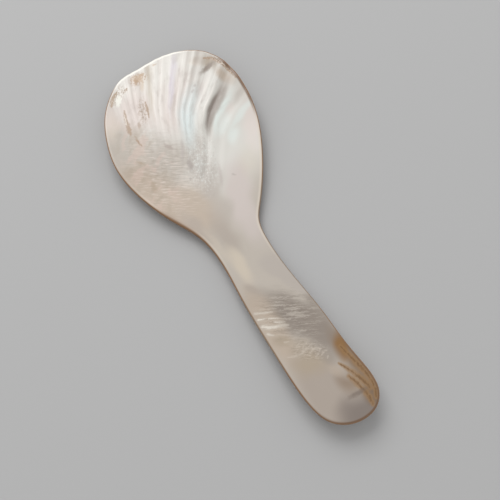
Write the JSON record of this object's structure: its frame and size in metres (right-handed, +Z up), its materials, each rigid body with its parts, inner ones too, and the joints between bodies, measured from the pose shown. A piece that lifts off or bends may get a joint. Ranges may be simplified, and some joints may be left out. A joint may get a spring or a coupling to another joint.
{
  "type": "shell rice paddle",
  "caption": "Rice paddle cut in one piece from a pearl shell valve: broad dished head with fanned folds, narrow throat and a flat handle with a round end.",
  "frame": {"origin": "middle of the footprint's box, on the surface that the paddle rests on", "axes": "+Z up, the hollow side of the shell; +Y along the paddle from the handle's end to the crown of the head; +X to the right, seen from above"},
  "size_m": [0.076, 0.2018, 0.0108],
  "materials": {
    "nacre": "polished mother-of-pearl"
  },
  "bodies": {
    "root": {"paddle": "nacre"}
  },
  "joints": []
}
